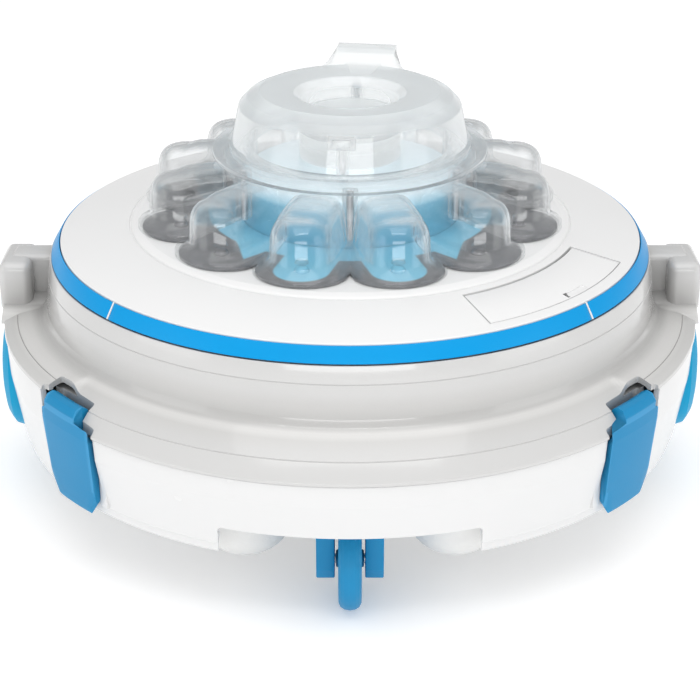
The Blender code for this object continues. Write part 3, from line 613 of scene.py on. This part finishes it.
def sector(r0, r1, start, end, z0, z1):
    return arc_loft("tool", [(r0, z0), (r1, z0), (r1, z1), (r0, z1)], start, end, steps=40)


DECK = [
    (66.0, 162.5), (118.9, 162.7), (122.6, 161.6), (123.5, 160.95), (123.9, 160.0),
    (124.4, 160.0), (124.8, 160.72), (163.4, 153.95), (163.4, 151.4), (125.0, 158.1),
    (121.0, 159.6), (66.0, 159.6)]
deck = lathe("deck_plate", rounded(DECK, 0.35, 3, {2: 2.0, 3: 0.4, 7: 0.9}), segments=240)
flap_start, flap_end = FLAP_AZ - FLAP_HALF, FLAP_AZ + FLAP_HALF
FLAP_GAP = 0.35           # degrees at each end
cut(deck, sector(128.8, 157.5, flap_start - FLAP_GAP, flap_end + FLAP_GAP, 140, 175))
finish(deck, 32)
put(deck, "top_deck")

FLAP_RADII = (130.2, 143, 156.8)
FLAP_THICK = 2.3
flap_profile = [(r, deck_z(r)) for r in FLAP_RADII]
flap_profile += [(r, deck_z(r) - FLAP_THICK) for r in reversed(FLAP_RADII)]
flap = arc_loft("access_door", flap_profile, flap_start, flap_end, steps=40)
cut(flap, sector(152.4, 160.0, 46.4, 52.8, deck_z(155) - 0.2, 170))
bevel_edges(flap, width=0.35)
put(flap, "access_flap")

# ------------------------------------------------ trim ring and its ribs
TRIM = rounded([(163.9, 154.0), (168.9, 145.4), (166.9, 144.4), (163.9, 149.7)], 0.4, 3)
TRIM_ARCS = {"front": (-47.6, 47.6), "right": (48.2, 131.8), "rear": (132.4, 227.6),
             "left": (228.2, 311.8)}
for side, (start, end) in TRIM_ARCS.items():
    trim = arc_loft("trim_" + side, TRIM, start, end, steps=72)
    bevel_edges(trim, width=0.25, angle=60)
    put(trim, "trim_ring_" + side)

RIB = rounded([(163.8, 154.15), (169.1, 145.45), (166.9, 144.6), (163.9, 149.8)], 0.3, 3)
RIB_HALF = 0.17           # degrees
for k, az in enumerate((-47.9, 47.9, 132.1, 227.9)):
    rib = arc_loft("trim_rib_%d" % (k + 1), RIB, az - RIB_HALF, az + RIB_HALF, steps=2)
    dress(rib, "white_deck", "cover")

# ============================================================ lamp crown
DOME_CENTRE = 97.2        # where the dome's ridge ends in a half circle
DOME_HALF_WIDTH = 16.8
COLLAR_R = 71.3
WALL = 1.5
# (distance along the ridge, dome height)
CREST = [(COLLAR_R, 24.6), (82.7, 24.3), (91.2, 23.5), (DOME_CENTRE, 21.6)]
# (inset, sag of the slope, foot as (offset from the rim, height))
OUTER_SKIN = (0.0, 0.5, [(-0.5, 163.4), (0.0, 163.9), (0.0, 166.6), (-0.5, 167.2)])
INNER_SKIN = (WALL, 0.3, [(0.0, 163.4), (0.0, 164.4), (0.0, 165.2), (-0.6, 165.8)])
COLLAR = [
    (71.3, 199.0), (71.6, 199.3), (76.2, 199.4), (76.7, 199.9), (76.7, 202.2), (76.2, 202.7),
    (55.0, 203.6), (54.5, 203.1), (54.5, 201.2), (55.0, 200.9), (68.6, 200.4), (69.8, 199.6)]


def rim_radius(angle, inset=0.0):
    """Where a ray, at an angle off the lobe's centre line, leaves the lobe's elliptical rim."""
    centre, a, b = 98.0, 22.6 - inset, 25.8 - inset
    s, c = sin(angle), cos(angle)
    # quadratic in the radius
    qa = (c / a) ** 2 + (s / b) ** 2
    qb = -2 * centre * c / a ** 2
    qc = (centre / a) ** 2 - 1
    return (-qb + sqrt(max(qb * qb - 4 * qa * qc, 0))) / (2 * qa)


def dome_radius(angle, width):
    """Where the ray leaves the dome: through its round end, or through its straight flank."""
    s, c = abs(sin(angle)), cos(angle)
    under_root = width ** 2 - (DOME_CENTRE * s) ** 2
    if under_root >= 0:
        r = DOME_CENTRE * c + sqrt(under_root)
        if r * c >= DOME_CENTRE:
            return r
    return max(min(width / s, DOME_CENTRE + width), 76.0)


def crest_height(x):
    if x <= CREST[0][0]:
        return CREST[0][1]
    for (x0, h0), (x1, h1) in zip(CREST, CREST[1:]):
        if x <= x1:
            return h0 + (h1 - h0) * (x - x0) / (x1 - x0)


def crown_column(angle, skin):
    """Points from the scalloped rim up the slope and over the dome to the collar."""
    inset, sag, foot = skin
    width = DOME_HALF_WIDTH - inset
    collar_r = COLLAR_R - inset
    rim, edge = rim_radius(angle, inset), dome_radius(angle, width)
    base = 172.6 - inset * 0.9
    points = [(rim + dr, z) for dr, z in foot]
    r0, z0 = points[-1]
    for k in range(1, 5):
        f = k / 5
        points.append((r0 + (edge - r0) * f, z0 + (base - z0) * f - sag * sin(pi * f)))
    for k in range(27):
        f = 1 - (1 - cos(pi / 2 * k / 26)) ** 0.62
        r = collar_r + (edge - collar_r) * f
        x, y = r * cos(angle), abs(r * sin(angle))
        if x <= DOME_CENTRE:
            across = y / width
        else:
            across = sqrt((x - DOME_CENTRE) ** 2 + y * y) / width
        height = crest_height(min(x, DOME_CENTRE)) - inset * 0.1
        points.append((r, base + height * (1 - min(across, 1.0) ** 3.6) ** (1 / 3.4)))
    return points


def lobed_ring(name, column, steps, smooth=35.0):
    """Ring of lobes; column gives the points at an angle, in degrees, off a lobe's centre."""
    rows = []
    for lobe in range(LOBES):
        for k in range(steps):
            a = -LOBE_PITCH / 2 + LOBE_PITCH * k / steps
            az = LOBE_PITCH / 2 + LOBE_PITCH * lobe + a
            rows.append([polar(az, r, z) for r, z in column(a)])
    return loft(name, rows, ring=True, smooth=smooth)


def crown_section(a):
    outer = crown_column(radians(a), OUTER_SKIN)
    inner = crown_column(radians(a), INNER_SKIN)
    return outer + COLLAR + inner[::-1]


def board_section(a):
    hole, low, high = 62.4, 163.1, 164.4
    rim = rim_radius(radians(a)) - 2.4
    return [(hole, low), (rim, low), (rim, 164.2), (rim - 0.3, high), (hole, high)]


put(lobed_ring("lamp_crown", crown_section, steps=28, smooth=60), "light_crown")

LAMP = [(0, 163.8), (4.0, 163.8), (4.0, 165.0), (3.4, 165.6), (3.2, 166.2), (2.4, 166.8),
        (0, 167.0)]
LENS = [(0, 168.0), (2.4, 168.1), (3.8, 168.9), (3.2, 170.2), (1.6, 170.9), (0, 171.1)]
lamp_places = [place(LOBE_PITCH / 2 + LOBE_PITCH * k, LAMP_R) for k in range(LOBES)]
board = lobed_ring("lamp_board", board_section, steps=20)
for at in lamp_places:
    join(board, lathe("tool", LAMP, segments=32, at=at))
finish(board, 40)
put(board, "led_board")
board.data.materials[0] = board_painted_see_through()
for k, at in enumerate(lamp_places):
    dress(lathe("lamp_lens_%d" % (k + 1), LENS, segments=24, at=at), "clear_plastic", "cover")

# ======================================================= cap and nozzle
CAP = [
    (31.2, 233.0), (49.9, 234.5), (57.0, 231.4), (61.7, 226.4), (65.8, 207.0), (67.7, 206.0),
    (67.7, 203.6), (64.0, 203.7), (59.8, 225.4), (55.6, 229.6), (49.6, 232.6), (33.2, 231.2),
    (29.4, 228.0), (28.6, 212.0), (26.8, 212.0), (27.4, 229.4)]
CAP_RADII = {0: 1.6, 1: 2.5, 2: 4.0, 3: 2.5, 8: 2.0, 9: 3.5, 10: 2.0, 11: 1.2, 15: 2.0}
TAB = [
    (46.0, 232.7), (50.5, 236.0), (55.5, 239.6), (60.0, 241.8), (66.0, 242.6), (66.8, 242.0),
    (66.8, 237.2), (65.2, 237.2), (65.2, 240.9), (60.4, 240.1), (56.6, 238.0), (52.2, 234.4),
    (49.6, 232.1)]
TAB_AZ = 171.0
TAB_HALF_WIDTH, TAB_ROOT_FLARE = 17.0, 7.0


def cap_tab():
    """Raised tab at the back of the cap, flared where it meets the top."""
    outward, tangent = directions(TAB_AZ)
    rows = []
    for k in range(25):
        t = -1 + 2 * k / 24
        row = []
        for r, z in rounded(TAB, 0.6, 3):
            half = TAB_HALF_WIDTH + TAB_ROOT_FLARE * (1 - smoothstep(46.0, 57.0, r)) ** 1.5
            row.append((outward * r + tangent * (half * t) + Vector((0, 0, z))) * MM)
        rows.append(row)
    return loft("tool", rows)


cap = lathe("cap_shell", rounded(CAP, 0.5, 4, CAP_RADII), segments=180)
join(cap, cap_tab())
finish(cap, 40)
put(cap, "outlet_cap")

NOZZLE = [
    (23.6, 222.0), (25.9, 222.0), (25.9, 219.4), (26.2, 219.0), (26.2, 217.6), (25.9, 217.2),
    (25.9, 211.5), (28.3, 211.1), (28.3, 208.0), (27.2, 207.4), (27.2, 205.6), (28.3, 205.0),
    (28.3, 197.2), (26.2, 197.2), (26.2, 209.2), (23.6, 210.2)]
nozzle = lathe("nozzle_tube", rounded(NOZZLE, 0.3, 2), segments=120)
for k in range(3):
    az = CAP_TURN + 120 * k
    cut(nozzle, box((14.0, 10.0, 5.0), place(az, 25.0, 216.0), turn=az, bevel=0.6))
finish(nozzle, 40)
put(nozzle, "outlet_nozzle")
nozzle.data.materials[0] = clear("clear_nozzle", color=(0.93, 0.975, 0.99), frost=0.62,
                                 frost_band=(0.190, 0.198))

DRUM = [
    (24.6, 196.6), (26.8, 196.4), (28.8, 193.8), (57.0, 189.9), (62.0, 184.8), (62.0, 162.9),
    (59.8, 162.9), (59.8, 183.8), (56.5, 187.4), (27.6, 191.4), (24.6, 193.4)]
drum = lathe("drum_shell", rounded(DRUM, 0.5, 4, {2: 2.0, 3: 3.0, 4: 3.0}), smooth=40)
put(drum, "outlet_drum")
drum.data.materials[0] = drum_paling_upwards()


def screw(name, node, at, bottom, top, r, head_r=0.0, head_height=0.0):
    """Machine screw with a thread, and a recessed head if it has a head radius."""
    pitch = 0.9
    profile = [(0, bottom), (r * 0.7, bottom)]
    z = bottom + 0.4
    shank_top = top - head_height
    while z + pitch < shank_top - 0.3:
        profile += [(r * 0.84, z), (r, z + 0.4)]
        z += pitch
    profile += [(r * 0.9, shank_top)]
    if head_r:
        profile += [(head_r - 0.2, shank_top), (head_r, shank_top + 0.4), (head_r, top - 0.5),
                    (head_r - 0.6, top), (1.3, top), (1.2, top - 0.8), (0, top - 0.8)]
    else:
        profile += [(0, top)]
    put(lathe(name, profile, segments=32, at=at, smooth=50), node)


CAP_BOSS = [(2.0, 219.3), (3.3, 219.3), (3.6, 204.3), (2.0, 204.3)]
CROWN_BOSS = [(2.1, 199.2), (4.3, 199.2), (4.0, 173.0), (3.4, 171.6), (2.1, 171.6)]
cap_screws = [place(CAP_TURN + 90 * k, CAP_SCREW_R) for k in range(4)]
for k, at in enumerate(cap_screws):
    screw("capscrew_%d" % (k + 1), "cap_screw_%d" % (k + 1), at, bottom=204.1, top=221.9, r=1.6,
          head_r=3.0, head_height=2.3)
for k, at in enumerate(cap_screws):
    boss = lathe("cap_boss_%d" % (k + 1), CAP_BOSS, segments=32, at=at)
    dress(boss, "clear_plastic", BODY["outlet_cap"])
window = radial_box((2.4, 15.0, 7.5), CAP_TURN, 62.6, 223.5, bevel=0.8, name="cap_window")
cut(window, radial_box((4.0, 9.5, 3.6), CAP_TURN, 63.6, 223.5, bevel=0.4))
dress(window, "clear_plastic", BODY["outlet_cap"])
for k in range(6):
    at = place(60 * k, CROWN_SCREW_R)
    screw("crownscrew_%d" % (k + 1), "crown_screw_%d" % (k + 1), at, bottom=170.0, top=198.9,
          r=1.7)
    boss = lathe("screw_boss_%d" % (k + 1), CROWN_BOSS, segments=40, at=at)
    dress(boss, "clear_plastic", "cover")

# ================================================================= clips
CLIP = [
    (188.8, 101.2), (189.9, 103.6), (193.0, 105.4), (196.4, 104.4), (198.6, 100.8),
    (198.7, 98.2), (198.75, 96.4), (198.9, 91.0), (196.2, 60.0), (195.2, 47.0), (193.9, 44.9),
    (192.4, 46.6), (192.2, 56.0), (193.2, 86.5), (193.4, 89.5), (193.8, 93.2), (192.6, 93.8),
    (190.0, 93.9), (187.9, 96.0), (187.9, 99.6)]
CLIP_RADII = {2: 1.6, 3: 1.6, 4: 2.0, 5: 0.05, 6: 0.05, 7: 3.0}
CLIP_HALF = 6.0           # degrees
HINGE_R, HINGE_Z, BORE_R = 190.2, 97.4, 1.5


def clip_point(az, t, inward, r, z):
    """Point of the clip's profile at t, from -1 to 1 across its width."""
    half = CLIP_HALF - 0.2 * max(0.0, (100 - z) / 56)
    if 84 < z < 99 and abs(t) > 0.9 and r > 195:
        # ripples on the side edges
        half += 0.16 * sin((z - 84) * pi / 2.5)
    # the knuckle and the top are narrower on the side facing the Y axis, to swing clear
    narrowing = smoothstep(197.2, 195.0, r) if z > 88 and r < 196.6 else 0.0
    narrowing = max(narrowing, smoothstep(96.5, 98.0, z))
    half -= narrowing * (3.0 if t * inward > 0 else 0.7)
    # the bottom corners sweep up
    lift = 8.0 * smoothstep(56.0, 45.0, z) * max(0.0, (abs(t) - 0.72) / 0.28)
    return polar(az + half * t, r, z + lift)


clip_profile = rounded(CLIP, 0.5, 3, CLIP_RADII)
bore_outline = [(BORE_R * cos(2 * pi * k / 24), BORE_R * sin(2 * pi * k / 24))
                for k in range(24)]
for corner, (az, inward) in CLIPS.items():
    clip = loft("latch_" + corner, [[clip_point(az, j / 14, inward, r, z) for r, z in clip_profile]
                                    for j in range(-14, 15)])
    bevel_edges(clip, width=0.5, segments=3, angle=50)
    cut(clip, tangent_prism(bore_outline, 60, az, place(az, HINGE_R, HINGE_Z)))
    finish(clip, 40)
    put(clip, "clip_" + corner)

# ================================================================== tray
TRAY_LOWER = [
    (190.7, 50.6), (189.4, 49.8), (189.0, 44.7), (185.8, 44.7), (185.8, 47.8), (60.0, 47.8),
    (60.0, 50.8), (185.0, 50.8), (187.8, 54.5)]
TRAY_ENDS = [(196.8, 92.2), (196.0, 80.0)] + TRAY_LOWER + [(193.0, 80.0), (193.6, 92.2)]
TRAY_SIDES = [(197.0, 104.6), (196.2, 84.0)] + TRAY_LOWER + [(193.2, 84.0), (193.8, 104.6)]
# solid that keeps the joined housings inside the tray's outer wall
ENVELOPE = [(0, 104.2), (196.2, 104.2), (195.4, 80.0), (190.1, 50.6), (188.7, 49.9),
            (188.5, 46.0), (0, 46.0)]


def wheel_disc(r, low, high, x_near, x_far, s):
    """Disc on a side wheel's axle, flattened at the low and high levels."""
    outline = []
    for k in range(96):
        a = 2 * pi * (k + 0.5) / 96
        outline.append((r * cos(a), max(low, min(high, WHEEL_Z + r * sin(a)))))
    return loft("tool", [[Vector((x, y, z)) * MM for y, z in outline]
                         for x in sorted((s * x_near, s * x_far))])


def join_inside(ob, piece):
    """Joins the part of a piece that lies within the envelope."""
    boolean(piece, lathe("tool", ENVELOPE, segments=240), 'INTERSECT')
    join(ob, piece)


CASTER_WELL_HALF = 80.6
WELL_TOOL_HEIGHT, WELL_ROOF_Z = 41.0, 61.0
well_tool_z = WELL_ROOF_Z - WELL_TOOL_HEIGHT / 2

tray = hull_loft("hull_tray", TRAY_ENDS, TRAY_SIDES, low=55.5, high=55.9, radius=0.5,
                 radii={2: 1.2, 3: 0.5, 4: 1.0})
for s in SIDES:
    join_inside(tray, wheel_disc(HOUSING_R, 48.2, 104.0, 175.3, 192.5, s))
join_inside(tray, box((2 * CASTER_WELL_HALF + 6.0, 92.0, 15.8), (0, -148.0, 56.1)))
for s in SIDES:
    join(tray, box((34.0, 76.0, 20.0), (s * DRIVE_X, DRIVE_Y, 60.0), bevel=1.0))
for s in SIDES:
    cut(tray, wheel_disc(42.4, 20.0, 125.0, 178.5, 212.0, s))
cut(tray, box((2 * 66.7, 120.0, WELL_TOOL_HEIGHT), (0, -165.0, well_tool_z), bevel=2.5,
              segments=4))
cut(tray, box((2 * CASTER_WELL_HALF, 58.0, WELL_TOOL_HEIGHT), (0, -134.0, well_tool_z)))
for s in SIDES:
    cut(tray, box((28.0, 70.0, 37.0), (s * DRIVE_X, DRIVE_Y, 48.5), bevel=1.5))
for s in SIDES:
    join(tray, cylinder(4.0, 21.0, (s * 185.8, 0, WHEEL_Z), 'X', segments=32))
cut(tray, cylinder(8.5, 20, (0, CASTER_STEM_Y, 62.0)))
for az, inward in CLIPS.values():
    join(tray, radial_box((6.0, 50.0, 40.6), az, 188.0, 71.9))
    cut(tray, radial_box((14.0, 44.2, 60.0), az, 197.9, 71.0))
finish(tray, 32)
put(tray, "lower_tray")


# ================================================================ wheels
def side_wheel_profile():
    """Domed face with five ring grooves, rounded rim, flat back with an axle bore."""
    profile = [(0, 201.8), (9.0, 201.6)]
    for r in (12.0, 17.0, 22.0, 27.0, 32.0):
        z = 201.9 - 0.0036 * r * r - 0.9 * (r / 36.0) ** 6
        profile += [(r - 0.8, z + 0.1), (r - 0.3, z - 0.5), (r + 0.3, z - 0.5),
                    (r + 0.8, z - 0.1)]
    return profile + [
        (35.6, 196.0), (38.2, 194.0), (39.3, 190.4), (39.9, 186.4), (39.4, 182.8),
        (38.4, 181.4), (4.35, 181.4), (4.35, 196.6), (0, 196.6)]


def tyre_profile():
    """Tyre with three grooves round its tread."""
    shoulder = [(24.35, 10.0), (30.3, 10.0), (31.6, 9.2), (DRIVE_R, 7.6)]
    profile = list(shoulder)
    for z in (4.5, 0.0, -4.5):
        profile += [(DRIVE_R, z + 1.0), (30.6, z + 0.6), (30.6, z - 0.6), (DRIVE_R, z - 1.0)]
    profile += [(r, -z) for r, z in reversed(shoulder)]
    return rounded(profile, 0.3, 2)


def pod_profile():
    """Upright pod with a domed bottom."""
    r, dome_z, dome_depth = 24.0, 38.0, 17.5
    profile = [(0, 60.5), (23.6, 60.5), (r, 60.0), (r, dome_z)]
    for k in range(1, 17):
        a = pi / 2 * k / 16
        profile.append((r * cos(a), dome_z - dome_depth * sin(a)))
    return profile


HUB = [
    (0, 10.0), (6.0, 10.0), (7.0, 8.2), (18.0, 8.2), (19.5, 10.0), (23.2, 10.0), (24.0, 9.2),
    (24.0, -9.2), (23.2, -10.0), (3.6, -10.0), (3.6, -16.3), (0, -16.3)]
for s, side in zip(SIDES, ("left", "right")):
    outwards = Matrix.Rotation(radians(90 * s), 4, 'Y')
    drive_at = (s * DRIVE_X, DRIVE_Y, DRIVE_R)
    put(lathe("guide_wheel_" + side, side_wheel_profile(), segments=128, at=(0, 0, WHEEL_Z),
              turn=outwards), "side_wheel_" + side)
    put(lathe("tread_" + side, tyre_profile(), segments=128, at=drive_at, turn=outwards),
        "drive_tyre_" + side)
    put(lathe("hub_" + side, HUB, segments=96, at=drive_at, turn=outwards), "drive_hub_" + side)
    put(lathe("pod_" + side, pod_profile(), segments=96, at=(s * 55.3, -131.0, 0)),
        "ballast_pod_" + side)

# ---------------------------------------------------------------- caster
ROLLER_HALF = [
    (2.95, 7.3), (4.5, 7.3), (4.8, 5.6), (9.0, 5.2), (18.0, 5.2), (20.5, 6.1), (23.2, 6.0),
    (25.3, 4.9), (26.6, 2.9)]
roller = ROLLER_HALF + [(CASTER_R, 0.0)] + [(r, -z) for r, z in reversed(ROLLER_HALF)]
caster_at = (0, CASTER_Y, CASTER_R)
put(lathe("caster_roller", rounded(roller, 0.8, 3), segments=128, at=caster_at,
          turn=Matrix.Rotation(radians(90), 4, 'Y')), "caster_wheel")

CHEEK = rounded([(-9.5, 59.9), (9.5, 59.9), (9.5, 25.5), (6.5, 18.8), (-6.5, 18.8),
                 (-9.5, 25.5)], 1.6, 5)
fork = box((35.2, 24.0, 4.0), (0, -157.0, 58.0), bevel=0.8, name="fork_arms")
for s in SIDES:
    cheek = tangent_prism(CHEEK, 9.7, 0.0, (s * 12.75, CASTER_Y, 0))
    bevel_edges(cheek, width=0.7, segments=3, angle=50)
    join(fork, cheek)
join(fork, cylinder(5.0, 21.0, (0, CASTER_STEM_Y, 69.4)))
cut(fork, cylinder(2.95, 50.0, caster_at, 'X'))
for s in SIDES:
    cut(fork, cylinder(5.4, 1.4, (s * 17.6, CASTER_Y, CASTER_R), 'X'))
finish(fork, 38)
put(fork, "caster_fork")
put(cylinder(2.6, 34.8, caster_at, 'X', name="caster_pin"), "caster_axle")


# ========================================== stage, in metres from here on
def floor_material():
    """Pale floor that disappears from below, so that the underside can be looked at."""
    g = new_graph("floor_pale")
    g.principled({
        "Base Color": (0.94, 0.94, 0.94, 1),
        "Roughness": 0.9,
        "Emission Color": (1, 1, 1, 1),
        "Emission Strength": 0.22,
    })
    below = g.add("NewGeometry", out="Backfacing")
    g.surface(g.mix(below, g.nodes["Principled BSDF"].outputs["BSDF"], g.add("BsdfTransparent")))
    return g.owner


floor_mesh = bpy.data.meshes.new("floor")
bm = bmesh.new()
bmesh.ops.create_grid(bm, x_segments=1, y_segments=1, size=6.0)
bm.to_mesh(floor_mesh)
bm.free()
floor = bpy.data.objects.new("floor", floor_mesh)
bpy.context.scene.collection.objects.link(floor)
floor_mesh.materials.append(floor_material())

scene = bpy.context.scene
scene.view_settings.view_transform = 'Standard'
scene.view_settings.exposure = 0.0

# (upward part of the view direction, grey of the sky)
SKY = [(0.0, 0.95), (0.04, 0.86), (0.16, 0.58), (0.36, 0.55), (0.55, 0.80), (0.75, 1.0),
       (1.0, 1.0)]
scene.world = bpy.data.worlds.new("studio")
g = Graph(scene.world)
sky = g.ramp(g.height(g.add("TexCoord", out="Generated")), SKY)
g.set(g.nodes["Background"], {"Color": sky, "Strength": 0.9})


def area(name, at, target, size, power, size_y=None):
    """Area light: square, or rectangular if it has a second size."""
    light = bpy.data.lights.new(name, 'AREA')
    light.energy = power
    light.size = size
    if size_y:
        light.shape = 'RECTANGLE'
        light.size_y = size_y
    ob = bpy.data.objects.new(name, light)
    ob.location = at
    ob.rotation_euler = (Vector(target) - Vector(at)).to_track_quat('-Z', 'Y').to_euler()
    scene.collection.objects.link(ob)


area("key", at=(0.0, -0.5, 1.9), target=(0, 0, 0.1), size=1.6, power=9)
area("strip", at=(0.0, -0.62, 0.90), target=(0, -0.17, 0.11), size=0.8, power=0.65, size_y=0.03)
area("left", at=(-1.7, -0.8, 0.55), target=(0, 0, 0.1), size=1.0, power=3.0)
area("right", at=(1.7, -0.8, 0.55), target=(0, 0, 0.1), size=1.0, power=3.0)
area("front", at=(0.0, -2.2, 0.55), target=(0, 0, 0.08), size=1.8, power=9, size_y=0.5)

lens = bpy.data.cameras.new("photo_view")
lens.sensor_width = 36.0
lens.lens = 95.23
camera = bpy.data.objects.new("photo_view", lens)
camera.location = (0, -0.98895, 0.5263)
camera.rotation_euler = (radians(65.538), 0, 0)
scene.collection.objects.link(camera)
scene.camera = camera
